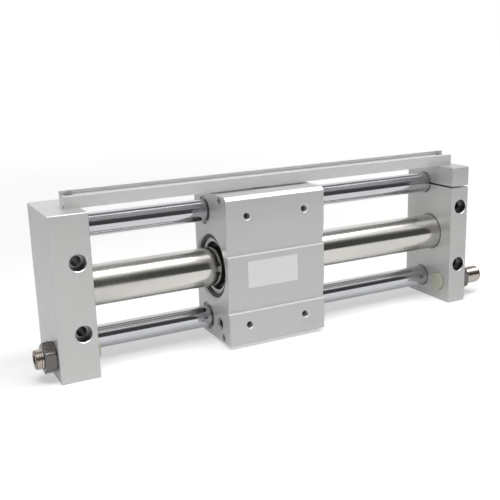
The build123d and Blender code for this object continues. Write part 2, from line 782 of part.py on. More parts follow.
# Switch rail across both plates, with a shallow tray and a hooked lip along its back
lip_front_y = rail_back_y - rail_lip
lip_top_z = plate_height + rail_height + rail_lip_rise
rail_top_z = plate_height + rail_height
relief_y = rail_y + rail_relief_start
with BuildPart() as switch_rail:
    with BuildSketch(section(rail_left)):
        with BuildLine():
            Polyline(
                (rail_y, plate_height),
                (rail_y, rail_top_z),
                (rail_y + rail_rim, rail_top_z),
                (rail_y + rail_rim, rail_floor_z),
                (lip_front_y, rail_floor_z),
                (lip_front_y, lip_top_z - rail_hook_height - rail_hook),
                (lip_front_y - rail_hook, lip_top_z - rail_hook_height),
                (lip_front_y - rail_hook, lip_top_z),
                (rail_back_y, lip_top_z),
                (rail_back_y, plate_height),
                (relief_y + rail_relief_width, plate_height),
                (relief_y + rail_relief_width, plate_height + rail_relief_depth),
                (relief_y, plate_height + rail_relief_depth),
                (relief_y, plate_height),
                close=True,
            )
        make_face()
    extrude(amount=rail_right - rail_left)
    with Locations(*[(x, rail_screw_y, rail_floor_z) for x in rail_screw_xs]):
        CounterSinkHole(rail_screw_d / 2 + slip, rail_screw_head_d / 2 + slip, rail_height, countersink_angle)
keep(switch_rail, "switch_rail")

rail_head_height = (rail_screw_head_d - rail_screw_d) / 2
with BuildPart() as rail_screws:
    for x in rail_screw_xs:
        with BuildSketch(facing(rail_screw_y)):
            with BuildLine():
                Polyline(
                    (x, rail_floor_z),
                    (x + rail_screw_head_d / 2, rail_floor_z),
                    (x + rail_screw_d / 2, rail_floor_z - rail_head_height),
                    (x + rail_screw_d / 2, rail_floor_z - rail_screw_length + tip_room),
                    (x, rail_floor_z - rail_screw_length + tip_room),
                    close=True,
                )
            make_face()
        revolve(axis=Axis((x, rail_screw_y, 0), (0, 0, 1)))
keep(rail_screws, "rail_screws")

with BuildPart() as clamp_screw:
    with BuildSketch(Plane.XY.offset(plate_height)):
        with Locations((clamp_x, clamp_y)):
            Circle(clamp_head_d / 2)
    extrude(amount=-clamp_head_height)
    with BuildSketch(Plane.XY.offset(plate_height - clamp_head_height)):
        with Locations((clamp_x, clamp_y)):
            Circle(clamp_screw_d / 2)
    extrude(amount=-clamp_screw_length)
    with BuildSketch(Plane.XY.offset(plate_height)):
        with Locations((clamp_x, clamp_y)):
            RegularPolygon(socket_screw_af / 2, hex_sides, major_radius=False)
    extrude(amount=-socket_screw_depth, mode=Mode.SUBTRACT)
keep(clamp_screw, "clamp_screw")

# Set screws that hold the shafts, from the back of the ported plate
shaft_back_y = shaft_y + shaft_d / 2 + running
with BuildPart() as shaft_screws:
    with BuildSketch(facing(shaft_back_y)):
        with Locations(*[(shaft_screw_x, z) for z in shaft_zs]):
            Circle(shaft_screw_d / 2)
    extrude(amount=-shaft_screw_length)
    with BuildSketch(facing(shaft_back_y + shaft_screw_length)):
        with Locations(*[(shaft_screw_x, z) for z in shaft_zs]):
            RegularPolygon(set_screw_af / 2, hex_sides, major_radius=False)
    extrude(amount=socket_screw_depth, mode=Mode.SUBTRACT)
keep(shaft_screws, "shaft_screws")
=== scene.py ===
"""Looks of a guided rodless cylinder, built around its fixed frame."""

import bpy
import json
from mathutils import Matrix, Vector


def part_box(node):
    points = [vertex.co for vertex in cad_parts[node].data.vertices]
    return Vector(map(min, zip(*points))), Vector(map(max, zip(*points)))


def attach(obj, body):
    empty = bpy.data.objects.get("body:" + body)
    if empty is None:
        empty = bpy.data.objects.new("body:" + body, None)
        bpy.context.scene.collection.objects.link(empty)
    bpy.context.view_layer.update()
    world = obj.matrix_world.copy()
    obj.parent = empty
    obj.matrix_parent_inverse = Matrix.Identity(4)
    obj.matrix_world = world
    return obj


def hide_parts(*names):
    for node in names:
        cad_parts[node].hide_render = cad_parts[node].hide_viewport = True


bl_info = {
    "name": "Guided rodless cylinder",
    "version": (1, 0, 0),
    "blender": (4, 5, 0),
    "location": "3D View > Sidebar > Cylinder",
    "description": "Finishes and small detail of a magnetically coupled guided cylinder",
    "category": "Object",
}

import json
from math import cos, hypot, pi, radians, sin, tau

import bmesh
import bpy
from bpy.props import FloatProperty, FloatVectorProperty, IntProperty, PointerProperty
from mathutils import Matrix, Vector

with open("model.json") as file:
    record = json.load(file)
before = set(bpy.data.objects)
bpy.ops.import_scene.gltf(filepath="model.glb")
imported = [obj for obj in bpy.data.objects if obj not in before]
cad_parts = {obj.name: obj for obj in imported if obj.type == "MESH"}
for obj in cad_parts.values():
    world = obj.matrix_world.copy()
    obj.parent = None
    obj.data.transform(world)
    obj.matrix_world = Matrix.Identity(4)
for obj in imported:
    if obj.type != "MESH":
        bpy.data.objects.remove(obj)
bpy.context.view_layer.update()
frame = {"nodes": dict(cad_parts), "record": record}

MM = 0.001

# Faces round a turned piece, and round one that has a hexagon
CROSS_SECTION = 128
HEX_SECTION = 120
HEX_CORNERS = 6
ARC_STEPS = 6

# Welding, shading and broken edges of the pieces, and the share of an edge on small ones
WELD = 2e-6
THINNEST = 1e-7
FLAT_ANGLE = radians(0.4)
SMOOTH_ANGLE = radians(32)
BROKEN_ANGLE = radians(38)
SMALL_EDGE = 0.4

# Lowest roughness that a mask can give
SMOOTHEST = 0.02

# Sockets of a Mix node that mixes colours
MIX_FACTOR, MIX_FIRST, MIX_SECOND, MIX_RESULT = 0, 6, 7, 2

# Grain of small metal parts, with its depth in millimetres
METAL_GRAIN = {"scale": 1500.0, "spread": 0.06, "strength": 0.15, "depth": 0.02}

# Which way tool lines and smears run: a small share makes them long in that direction
LINES_UPRIGHT = (1, 1, 0.06)
LINES_ALONG = (0.05, 1, 1)
LINES_DRAWN = (0.02, 1, 1)
LINES_ROUND = (1, 0.02, 0.02)
SMEARS_EVEN = (1, 1, 1)
SMEARS_ALONG = (0.22, 1, 1)

# How far a face's normal leans, which chooses the faces that get a second finish: painted light on
# tops, a painted highlight on ledges and rims, or painted shade in the gap round the tube
BLOCK_LEVEL = 0.9
RAIL_LEVEL = 0.8
LEDGE_LEVEL = 0.6
RIM_STEEP, RIM_SHALLOW = -0.95, -0.3
SIDEWAYS = 0.5

# Thread ridge: half its foot and half its crest as shares of the pitch, and the share of its
# height that is sunk in the core. A ridge in a hole points inwards, so its sink is negative
RIDGE_FOOT = 0.46
RIDGE_CREST = 0.0625
RIDGE_SINK = 0.2
TAPPED_SINK = -0.02 * MM

# Foot of a stop bolt, as shares of the chamfer on its end
BOLT_FOOT_LENGTH = 0.5
BOLT_FOOT_DEPTH = 0.4

# Lock nut: gap round the bolt, round face as a share of the flats, and the bevel at its corners
NUT_GAP = 0.05 * MM
NUT_FACE = 0.96
NUT_SLOPE = 0.577
NUT_STEPS = 4

LABEL_SINK = 0.01 * MM
LABEL_STEPS = 5

# Stage, in metres
FLOOR_REACH = 6.0
GLOW_FROM, GLOW_TO = 0.35, 1.6
SOFTBOX_SIZE = (1.8, 0.62)
SOFTBOX_PLACE = (0.1, -0.34, 1.4)
SOFTBOX_TILT = radians(-14)
CARD_LEFT, CARD_RIGHT = -3.0, 4.0


def length(name, default_mm, description):
    """A size that a user may set, kept in metres."""
    return FloatProperty(
        name=name, description=description, default=default_mm * MM, unit="LENGTH", precision=5
    )


def colour(name, default, description):
    """A colour that a user may set."""
    return FloatVectorProperty(
        name=name, description=description, default=default, subtype="COLOR", size=3, min=0, max=1
    )


class CylinderSizes(bpy.types.PropertyGroup):
    """Sizes of the detail that is added to the frame's pieces."""

    edge: length("Broken edge", 0.28, "Width of the broken edge of the plates and rail")
    block_edge: length("Block edge", 0.45, "Width of the broken edge of the slide block")
    # Depth of the painted highlight at the mouth of a fixing hole
    highlight_rim_depth: length("Bright rim", 0.8, "Depth of the bright mouth of a fixing hole")
    bolt_pitch: length("Bolt pitch", 1.5, "Thread pitch of the stop bolts")
    thread_depth: length("Thread depth", 0.88, "Height of the stop bolts' thread")
    tapped_pitch: length("Tapped pitch", 1.0, "Thread pitch in the tapped holes")
    tapped_depth: length("Tapped depth", 0.3, "Height of the thread ridge in tapped holes")
    bolt_socket: length("Bolt socket", 6.0, "Width across the flats of a stop bolt's socket")
    bolt_socket_depth: length("Socket depth", 7.0, "Depth of a stop bolt's socket")
    bolt_chamfer: length("Bolt chamfer", 1.2, "Chamfer on a stop bolt's end")
    nut_flats: length("Nut flats", 19.0, "Width across the flats of the lock nuts")
    bumper_edge: length("Bumper edge", 0.9, "Rounding of a bumper's face")
    label_width: length("Label width", 39.5, "Length of the label plate along the stroke")
    label_height: length("Label height", 19.1, "Height of the label plate")
    label_thick: length("Label thickness", 0.15, "Thickness of the label plate")
    label_left: length("Label left", 15.3, "From the block's left end to the label plate")
    label_foot: length("Label foot", 40.8, "From the block's bottom to the label plate")
    label_corner: length("Label corner", 0.5, "Corner radius of the label plate")


class CylinderColours(bpy.types.PropertyGroup):
    """Base colours of the finishes."""

    plates: colour("Plates", (0.665, 0.665, 0.655), "Clear anodised end plate, and pistons")
    # Painted shade: the plate with the slit gets a darker copy of the plates' colour, as its faces
    # get less light
    slit_plate: colour("Slit plate", (0.585, 0.585, 0.575), "Clear anodised plate with the slit")
    block: colour("Block", (0.615, 0.615, 0.61), "Clear anodised slide block")
    rail: colour("Rail", (0.79, 0.79, 0.78), "Clear anodised switch rail")
    # Painted highlight: a near-white colour on the block's ledges, the chamfer above its front, the
    # rims of its tapped holes, and the rail's front land and broken edges
    bright_cut: colour("Bright cut", (0.90, 0.90, 0.90), "Ledges of the block, edges of the rail")
    # Painted light: faces that point up get a lighter copy of the anodised colour, standing in for
    # the top light
    milled_top: colour("Milled top", (0.75, 0.75, 0.745), "Tops of the block and the rail")
    # Painted shade: the walls of the fixing holes are darker than the plates, with a painted
    # highlight at their mouth
    bored: colour("Bored metal", (0.36, 0.355, 0.35), "Walls of the fixing holes")
    chrome: colour("Chrome", (0.60, 0.61, 0.64), "Hard chrome of the guide shafts")
    stainless: colour("Stainless", (0.66, 0.645, 0.61), "Polished tube")
    nickel: colour("Nickel", (0.50, 0.455, 0.41), "Plated stop bolts")
    # Painted shade: the bolts' core, at the roots of the thread, the end and the socket, is darker
    # and browner than the ridge
    stained_nickel: colour("Stained nickel", (0.22, 0.18, 0.145), "Roots of the bolts' thread")
    dark_nickel: colour("Dark nickel", (0.165, 0.158, 0.152), "Plated lock nuts")
    black_oxide: colour("Black oxide", (0.03, 0.03, 0.032), "Blackened screws")
    spring_steel: colour("Spring steel", (0.03, 0.03, 0.028), "Retaining rings")
    magnet: colour("Magnet", (0.20, 0.20, 0.22), "Magnet rings")
    iron: colour("Soft iron", (0.42, 0.42, 0.43), "Yokes between the magnets")
    bronze: colour("Bearing", (0.36, 0.35, 0.32), "Dry bearings")
    resin: colour("Resin", (0.86, 0.86, 0.835), "Spacers")
    # Real dark resin on the wear rings, and painted shade where it is put on the spacers' walls in
    # the gap round the tube
    dark_resin: colour("Dark resin", (0.035, 0.035, 0.037), "Wear rings, gap round the tube")
    urethane: colour("Urethane", (0.51, 0.52, 0.42), "Bumpers and dampers")
    rubber: colour("Rubber", (0.022, 0.022, 0.022), "Seals")
    label: colour("Label", (0.90, 0.90, 0.895), "Bare label plate")


class StageSettings(bpy.types.PropertyGroup):
    """Floor, light and camera."""

    floor: colour("Floor", (0.86, 0.86, 0.86), "Floor")
    ambient: FloatProperty(name="Ambient", description="Level of the room's light", default=0.20)
    softbox: FloatProperty(name="Softbox", description="Power of the top light", default=18.5)
    floor_near: FloatProperty(
        name="Near lift", description="Floor's glow by the object", default=0.40
    )
    floor_far: FloatProperty(name="Far lift", description="Floor's glow far away", default=0.90)
    floor_glossy: FloatProperty(
        name="Reflected lift", description="Floor's glow in reflections", default=0.22
    )
    lens: FloatProperty(name="Lens", description="Focal length in millimetres", default=56.9)
    azimuth: FloatProperty(
        name="Azimuth", description="Turn of the camera", default=radians(-26.657), subtype="ANGLE"
    )
    elevation: FloatProperty(
        name="Elevation", description="Height angle", default=radians(14.489), subtype="ANGLE"
    )
    roll: FloatProperty(
        name="Roll", description="Tilt of the camera", default=radians(-1.701), subtype="ANGLE"
    )
    place: FloatVectorProperty(
        name="Camera", description="Place of the camera", default=(-0.271167, -0.498371, 0.206385),
        subtype="XYZ", unit="LENGTH",
    )
    detail: IntProperty(name="Detail", description="Rows of thread per turn", default=40, min=12)


def sizes():
    return bpy.context.scene.cylinder_sizes


def colours():
    return bpy.context.scene.cylinder_colours


def stage_settings():
    return bpy.context.scene.cylinder_stage


def linked(name, data):
    """A new object in the scene that holds data."""
    made = bpy.data.objects.new(name, data)
    bpy.context.scene.collection.objects.link(made)
    return made


def add(tree, kind, inputs, **settings):
    """A new node. Each of inputs is the socket that it is linked from, or its value."""
    made = tree.nodes.new(kind)
    for name, value in settings.items():
        setattr(made, name, value)
    for key, value in inputs.items():
        if isinstance(value, bpy.types.NodeSocket):
            tree.links.new(value, made.inputs[key])
        else:
            made.inputs[key].default_value = value
    return made


# Shared shader groups. Each puts out masks and heights only.


def pattern_group(name, *outputs):
    """A shader group that takes Vector, Stretch and Scale. Returns the group, its stretched
    vector, its scale and the inputs of its output node."""
    group = bpy.data.node_groups.new(name, "ShaderNodeTree")
    group.interface.new_socket("Vector", in_out="INPUT", socket_type="NodeSocketVector")
    stretch = group.interface.new_socket("Stretch", in_out="INPUT", socket_type="NodeSocketVector")
    stretch.default_value = SMEARS_EVEN
    group.interface.new_socket("Scale", in_out="INPUT", socket_type="NodeSocketFloat")
    for socket in outputs:
        group.interface.new_socket(socket, in_out="OUTPUT", socket_type="NodeSocketFloat")
    source = group.nodes.new("NodeGroupInput").outputs
    both = {0: source["Vector"], 1: source["Stretch"]}
    where = add(group, "ShaderNodeVectorMath", both, operation="MULTIPLY").outputs["Vector"]
    return group, where, source["Scale"], group.nodes.new("NodeGroupOutput").inputs


def noise(tree, vector, scale, detail, rough=0.55):
    """A noise node on a vector socket. scale is a socket or a number."""
    inputs = {"Vector": vector, "Scale": scale, "Detail": detail, "Roughness": rough}
    return add(tree, "ShaderNodeTexNoise", inputs).outputs["Fac"]


def remapped(tree, value, low, high, to_low=0.0, to_high=1.0):
    """value between low and high, spread over to_low to to_high."""
    inputs = {"From Min": low, "From Max": high, "To Min": to_low, "To Max": to_high}
    return add(tree, "ShaderNodeMapRange", {"Value": value, **inputs}).outputs["Result"]


def grain_group():
    """Fine even grain, as etched or blasted metal has."""
    found = bpy.data.node_groups.get("fine_grain")
    if found:
        return found
    group, where, scale, sink = pattern_group("fine_grain", "Height", "Mask")
    fine = noise(group, where, scale, detail=3)
    group.links.new(fine, sink["Height"])
    group.links.new(remapped(group, fine, low=0.35, high=0.65), sink["Mask"])
    return group


def lines_group():
    """Long fine lines, as drawing, grinding or turning leaves. Stretch sets their direction."""
    found = bpy.data.node_groups.get("tool_lines")
    if found:
        return found
    group, where, scale, sink = pattern_group("tool_lines", "Height", "Mask")
    line = noise(group, where, scale, detail=4, rough=0.6)
    group.links.new(line, sink["Height"])
    group.links.new(remapped(group, line, low=0.38, high=0.62), sink["Mask"])
    return group


def handling_group():
    """Broad faint patches with finer smears inside them, as handled metal has."""
    found = bpy.data.node_groups.get("handling")
    if found:
        return found
    group, where, scale, sink = pattern_group("handling", "Mask")
    broad = noise(group, where, scale, detail=2, rough=0.5)
    smears = noise(group, where, scale=140.0, detail=4, rough=0.65)
    patches = remapped(group, broad, low=0.40, high=0.70)
    faint = remapped(group, smears, low=0.35, high=0.70, to_low=0.35)
    product = add(group, "ShaderNodeMath", {0: patches, 1: faint}, operation="MULTIPLY")
    group.links.new(product.outputs["Value"], sink["Mask"])
    return group


class Finish:
    """A material in the making: one Principled shader and its object coordinates."""

    def __init__(self, name, base, metallic, roughness):
        self.material = bpy.data.materials.new(name)
        self.material.use_nodes = True
        self.tree = self.material.node_tree
        self.shader = self.tree.nodes["Principled BSDF"]
        self.shader.inputs["Metallic"].default_value = metallic
        self.shader.inputs["Roughness"].default_value = roughness
        self.shader.inputs["Base Color"].default_value = (*base, 1)
        self.base = base
        self.roughness = roughness
        self.where = self.tree.nodes.new("ShaderNodeTexCoord").outputs["Object"]

    def placed(self, group, **values):
        """A shared group on this material's coordinates, with its own values."""
        inputs = {name.capitalize(): value for name, value in values.items()}
        return add(self.tree, "ShaderNodeGroup", {"Vector": self.where, **inputs}, node_tree=group)

    def shaded(self, mask, dark, light):
        """Base colour times dark where mask is 0, and times light where it is 1."""
        first, second = ((*(min(1, c * share) for c in self.base), 1) for share in (dark, light))
        inputs = {MIX_FACTOR: mask, MIX_FIRST: first, MIX_SECOND: second}
        mix = add(self.tree, "ShaderNodeMix", inputs, data_type="RGBA")
        self.tree.links.new(mix.outputs[MIX_RESULT], self.shader.inputs["Base Color"])

    def roughened(self, mask, spread):
        """Roughness that varies by spread either side of its own value over mask."""
        low = max(SMOOTHEST, self.roughness - spread)
        value = remapped(self.tree, mask, 0, 1, low, self.roughness + spread)
        self.tree.links.new(value, self.shader.inputs["Roughness"])

    def bumped(self, *heights):
        """One bump after another. Each is a socket, a strength and a depth in millimetres."""
        normal = None
        for height, strength, depth in heights:
            inputs = {"Height": height, "Strength": strength, "Distance": depth * MM}
            if normal:
                inputs["Normal"] = normal
            normal = add(self.tree, "ShaderNodeBump", inputs).outputs["Normal"]
        self.tree.links.new(normal, self.shader.inputs["Normal"])

    def handled(self, scale, dark, light, **values):
        """Handling marks in the base colour. Returns their mask."""
        mask = self.placed(handling_group(), scale=scale, **values).outputs["Mask"]
        self.shaded(mask, dark, light)
        return mask

    def grained(self, scale, spread, strength, depth):
        """Fine grain in the roughness and the bump."""
        grain = self.placed(grain_group(), scale=scale)
        self.roughened(grain.outputs["Mask"], spread)
        self.bumped((grain.outputs["Height"], strength, depth))


def anodised(name, base, stretch, line_scale, roughness=0.38, metallic=0.35):
    """Clear anodised aluminium: satin, with grain and faint tool lines."""
    made = Finish(name, base, metallic, roughness)
    grain = made.placed(grain_group(), scale=2600.0)
    lines = made.placed(lines_group(), stretch=stretch, scale=line_scale)
    made.handled(scale=16.0, dark=1.0, light=0.955)
    made.roughened(lines.outputs["Mask"], spread=0.045)
    made.bumped((grain.outputs["Height"], 0.10, 0.02), (lines.outputs["Height"], 0.10, 0.02))
    return made.material


def polished(name, base, roughness, line_scale, bump, smudge, smear=0.90, drawn=SMEARS_EVEN):
    """Ground or polished round metal: fine lines round it, and smudges that dull it."""
    made = Finish(name, base, 1.0, roughness)
    lines = made.placed(lines_group(), stretch=LINES_ROUND, scale=line_scale)
    marks = made.handled(scale=24.0, dark=1.0, light=smear, stretch=drawn)
    dulled = remapped(made.tree, marks, 0, 1, roughness, roughness + smudge)
    made.tree.links.new(dulled, made.shader.inputs["Roughness"])
    made.bumped((lines.outputs["Height"], bump, 0.01))
    return made.material


def plain_metal(name, base, roughness, metallic=1.0):
    """Turned or pressed small metal parts."""
    made = Finish(name, base, metallic, roughness)
    made.handled(scale=90.0, dark=1.05, light=0.85)
    made.grained(**METAL_GRAIN)
    return made.material


def bored(name, base, roughness):
    """Walls of the fixing holes in painted shade, darker further in, with a painted highlight at
    the mouth in the front face.
    """
    made = Finish(name, base, 1.0, roughness)
    depth = add(made.tree, "ShaderNodeSeparateXYZ", {"Vector": made.where})
    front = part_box("plate_a")[0].y
    rim = sizes().highlight_rim_depth
    # Painted highlight at the mouth, 2.5 times the base colour, fading to painted shade at 0.9
    # times it further in
    inward = remapped(made.tree, depth.outputs["Y"], front + rim, front + 2 * rim)
    made.shaded(inward, dark=2.5, light=0.9)
    made.grained(**METAL_GRAIN)
    return made.material


def moulded(name, base, roughness, grain_scale=900.0, worn=0.88):
    """Moulded or cast resin, urethane or rubber."""
    made = Finish(name, base, 0.0, roughness)
    made.handled(scale=60.0, dark=1.0, light=worn)
    made.grained(scale=grain_scale, spread=0.07, strength=0.2, depth=0.03)
    return made.material


# Each finish: how it is made, its colour, and its own values
FINISHES = {
    "anodised_plate": (anodised, "plates", dict(stretch=LINES_UPRIGHT, line_scale=900.0)),
    # Painted shade: a darker copy of the end plates' finish
    "anodised_slit_plate": (anodised, "slit_plate", dict(stretch=LINES_UPRIGHT, line_scale=900.0)),
    "anodised_block": (anodised, "block", dict(stretch=LINES_ALONG, line_scale=800.0)),
    "anodised_rail": (
        anodised, "rail", dict(stretch=LINES_DRAWN, line_scale=1100.0, roughness=0.34),
    ),
    # Painted light on the tops of the block and the rail
    "milled_top": (
        anodised, "milled_top",
        dict(stretch=LINES_ALONG, line_scale=800.0, roughness=0.34, metallic=0.25),
    ),
    # Painted highlight on ledges, rims and edges
    "bright_cut": (
        anodised, "bright_cut",
        dict(stretch=LINES_DRAWN, line_scale=900.0, roughness=0.30, metallic=0.15),
    ),
    "hard_chrome": (
        polished, "chrome", dict(roughness=0.09, line_scale=900.0, bump=0.05, smudge=0.04),
    ),
    "stainless_tube": (
        polished, "stainless",
        dict(
            roughness=0.135, line_scale=260.0, bump=0.12, smudge=0.26, smear=0.74,
            drawn=SMEARS_ALONG,
        ),
    ),
    # Painted shade in the fixing holes, with a painted highlight at their mouth
    "bored_metal": (bored, "bored", dict(roughness=0.34)),
    "bright_nickel": (plain_metal, "nickel", dict(roughness=0.20)),
    # Painted shade on the bolts' core
    "stained_nickel": (plain_metal, "stained_nickel", dict(roughness=0.32)),
    "dark_nickel": (plain_metal, "dark_nickel", dict(roughness=0.24)),
    "black_oxide": (plain_metal, "black_oxide", dict(roughness=0.38, metallic=0.6)),
    "spring_steel": (plain_metal, "spring_steel", dict(roughness=0.46, metallic=0.5)),
    "sintered_magnet": (plain_metal, "magnet", dict(roughness=0.42, metallic=0.7)),
    "soft_iron": (plain_metal, "iron", dict(roughness=0.34)),
    "bearing_bronze": (plain_metal, "bronze", dict(roughness=0.36)),
    "turned_alloy": (plain_metal, "plates", dict(roughness=0.30)),
    "pale_resin": (moulded, "resin", dict(roughness=0.48)),
    # Dark resin of the wear rings, also used as painted shade in the gap round the tube
    "dark_resin": (moulded, "dark_resin", dict(roughness=0.45)),
    "cast_urethane": (moulded, "urethane", dict(roughness=0.42)),
    "seal_rubber": (moulded, "rubber", dict(roughness=0.55, grain_scale=1400.0)),
    "label_film": (moulded, "label", dict(roughness=0.40, grain_scale=700.0, worn=0.97)),
}


def finish(name):
    """The named finish, made the first time that it is asked for."""
    full_name = f"{name} finish"
    found = bpy.data.materials.get(full_name)
    if found:
        return found
    maker, colour_name, values = FINISHES[name]
    return maker(full_name, getattr(colours(), colour_name), **values)


# Mesh helpers


def new_object(name, mesh, material_name):
    """An object at the origin that holds mesh, in one finish."""
    made = linked(name, mesh)
    mesh.materials.clear()
    mesh.materials.append(finish(material_name))
    return made


def smoothed(mesh):
    """Smooth shading, with sharp edges where the surface turns by more than SMOOTH_ANGLE."""
    mesh.shade_smooth()
    mesh.set_sharp_from_angle(angle=SMOOTH_ANGLE)


def from_bmesh(name, made, material_name):
    """Closes a bmesh into an object with faces that point outwards."""
    bmesh.ops.remove_doubles(made, verts=made.verts, dist=THINNEST)
    bmesh.ops.recalc_face_normals(made, faces=made.faces)
    mesh = bpy.data.meshes.new(name)
    made.to_mesh(mesh)
    made.free()
    smoothed(mesh)
    return new_object(name, mesh, material_name)


def merged_copy(node, name, material_name, broken_edge):
    """A welded copy of a frame node with smooth curves and broken edges."""
    made = bmesh.new()
    made.from_mesh(frame["nodes"][node].data)
    bmesh.ops.remove_doubles(made, verts=made.verts, dist=WELD)
    bmesh.ops.dissolve_degenerate(made, edges=made.edges, dist=THINNEST)
    bmesh.ops.dissolve_limit(
        made, angle_limit=FLAT_ANGLE, verts=made.verts, edges=made.edges, delimit={"NORMAL"}
    )
    mesh = bpy.data.meshes.new(name)
    made.to_mesh(mesh)
    made.free()
    smoothed(mesh)
    piece = new_object(name, mesh, material_name)
    bevel = piece.modifiers.new("broken edge", "BEVEL")
    bevel.width = broken_edge
    bevel.segments = 2
    bevel.limit_method = "ANGLE"
    bevel.angle_limit = BROKEN_ANGLE
    weighted = piece.modifiers.new("flat faces", "WEIGHTED_NORMAL")
    weighted.weight = 100
    weighted.keep_sharp = True
    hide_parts(node)
    return piece


def paint(piece, material_name, chosen):
    """Gives a second finish to the faces of piece whose centre and normal are chosen."""
    mesh = piece.data
    mesh.materials.append(finish(material_name))
    slot = len(mesh.materials) - 1
    for face in mesh.polygons:
        if chosen(face.center, face.normal):
            face.material_index = slot


def keep_node(node, material_name):
    """Gives a frame node its finish and leaves its shape alone."""
    mesh = frame["nodes"][node].data
    mesh.materials.clear()
    mesh.materials.append(finish(material_name))


def mount_named(name):
    """One of the mounts in the frame's record."""
    return next(m for m in frame["record"]["mounts"] if m["name"] == name)


def hole_pattern(name):
    """The middle of a mount's four holes, and how far they lie from it along x and z."""
    mount = mount_named(name)
    spacing = mount["dims"]["spacing_x_mm"], mount["dims"]["spacing_y_mm"]
    return mount["pos_m"], *(apart * MM / 2 for apart in spacing)


def table_holes():
    """Where the four tapped holes in the block's front start."""
    (x, y, z), reach_x, reach_z = hole_pattern("table_bolts")
    return [(x + i * reach_x, y, z + k * reach_z) for i in (-1, 1) for k in (-1, 1)]


def centre_line(node):
    """Y and Z of the middle of a round node that lies along the stroke."""
    low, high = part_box(node)
    return (low.y + high.y) / 2, (low.z + high.z) / 2


def ring_point(x, y, z, radius, turn):
    """A point at radius from the line through y, z, turned about it."""
    return Vector((x, y - radius * cos(turn), z + radius * sin(turn)))


def hex_radius(flats, turn):
    """Distance from a hexagon's middle to its edge in the direction turn."""
    sector = tau / HEX_CORNERS
    return flats / 2 / cos((turn + sector / 2) % sector - sector / 2)


def turned(name, line, outline, material_name, closed=False, around=CROSS_SECTION):
    """A turned piece about line. outline lists x and a radius, or x and a function of the turn.
    closed joins the last ring to the first, as in a tube. Otherwise both ends run to the axis."""
    y, z = line
    made = bmesh.new()
    rings = []
    for x, radius in outline:
        if radius == 0:
            rings.append([made.verts.new((x, y, z))])
            continue
        ring = []
        for i in range(around):
            turn = tau * i / around
            size = radius(turn) if callable(radius) else radius
            ring.append(made.verts.new(ring_point(x, y, z, size, turn)))
        rings.append(ring)
    pairs = list(zip(rings, rings[1:]))
    if closed:
        pairs.append((rings[-1], rings[0]))
    for first, second in pairs:
        for i in range(around):
            j = (i + 1) % around
            corners = [first[i % len(first)], first[j % len(first)]]
            corners += [second[j % len(second)], second[i % len(second)]]
            made.faces.new(list(dict.fromkeys(corners)))
    return from_bmesh(name, made, material_name)


# Thread ridges, made with one Geometry Nodes tree


def ridge_tree():
    """A helical ridge along +X from the origin, repeated at the points of the input mesh."""
    found = bpy.data.node_groups.get("thread_ridge")
    if found:
        return found
    tree = bpy.data.node_groups.new("thread_ridge", "GeometryNodeTree")
    sockets = {"Points": "Geometry", "Rows": "Int", "Turned": "Vector", "Finish": "Material"}
    sockets |= dict.fromkeys(("Pitch", "Turns", "Radius", "Depth", "Sink"), "Float")
    for name, kind in sockets.items():
        tree.interface.new_socket(name, in_out="INPUT", socket_type=f"NodeSocket{kind}")
    tree.interface.new_socket("Ridges", in_out="OUTPUT", socket_type="NodeSocketGeometry")
    source = tree.nodes.new("NodeGroupInput").outputs

    def times(first, second):
        both = {0: first, 1: second}
        return add(tree, "ShaderNodeMath", both, operation="MULTIPLY").outputs["Value"]

    spiral = add(tree, "GeometryNodeCurveSpiral", {
        "Resolution": source["Rows"],
        "Rotations": source["Turns"],
        "Start Radius": source["Radius"],
        "End Radius": source["Radius"],
        "Height": times(source["Pitch"], source["Turns"]),
    })
    path = {"Curve": spiral.outputs["Curve"]}
    upright = add(tree, "GeometryNodeSetCurveNormal", path, mode="Z_UP")

    # Trapezoid across the ridge
    foot = times(source["Pitch"], RIDGE_FOOT)
    crest = times(source["Pitch"], RIDGE_CREST)
    sunk = times(source["Sink"], -1.0)
    depth = source["Depth"]
    corners = (times(foot, -1.0), sunk), (times(crest, -1.0), depth), (crest, depth), (foot, sunk)
    points = {}
    for number, (across, up) in enumerate(corners, 1):
        corner = add(tree, "ShaderNodeCombineXYZ", {"X": across, "Y": up})
        points[f"Point {number}"] = corner.outputs["Vector"]
    profile = add(tree, "GeometryNodeCurvePrimitiveQuadrilateral", points, mode="POINTS")

    swept = add(tree, "GeometryNodeCurveToMesh", {
        "Curve": upright.outputs["Curve"],
        "Profile Curve": profile.outputs["Curve"],
        "Fill Caps": True,
    })
    ridge = {"Geometry": swept.outputs["Mesh"], "Rotation": source["Turned"]}
    laid = add(tree, "GeometryNodeTransform", ridge)
    places = {"Points": source["Points"], "Instance": laid.outputs["Geometry"]}
    placed = add(tree, "GeometryNodeInstanceOnPoints", places)
    real = add(tree, "GeometryNodeRealizeInstances", {"Geometry": placed.outputs["Instances"]})
    skin = {"Geometry": real.outputs["Geometry"], "Material": source["Finish"]}
    dressed = add(tree, "GeometryNodeSetMaterial", skin)
    add(tree, "NodeGroupOutput", {"Ridges": dressed.outputs["Geometry"]})
    return tree


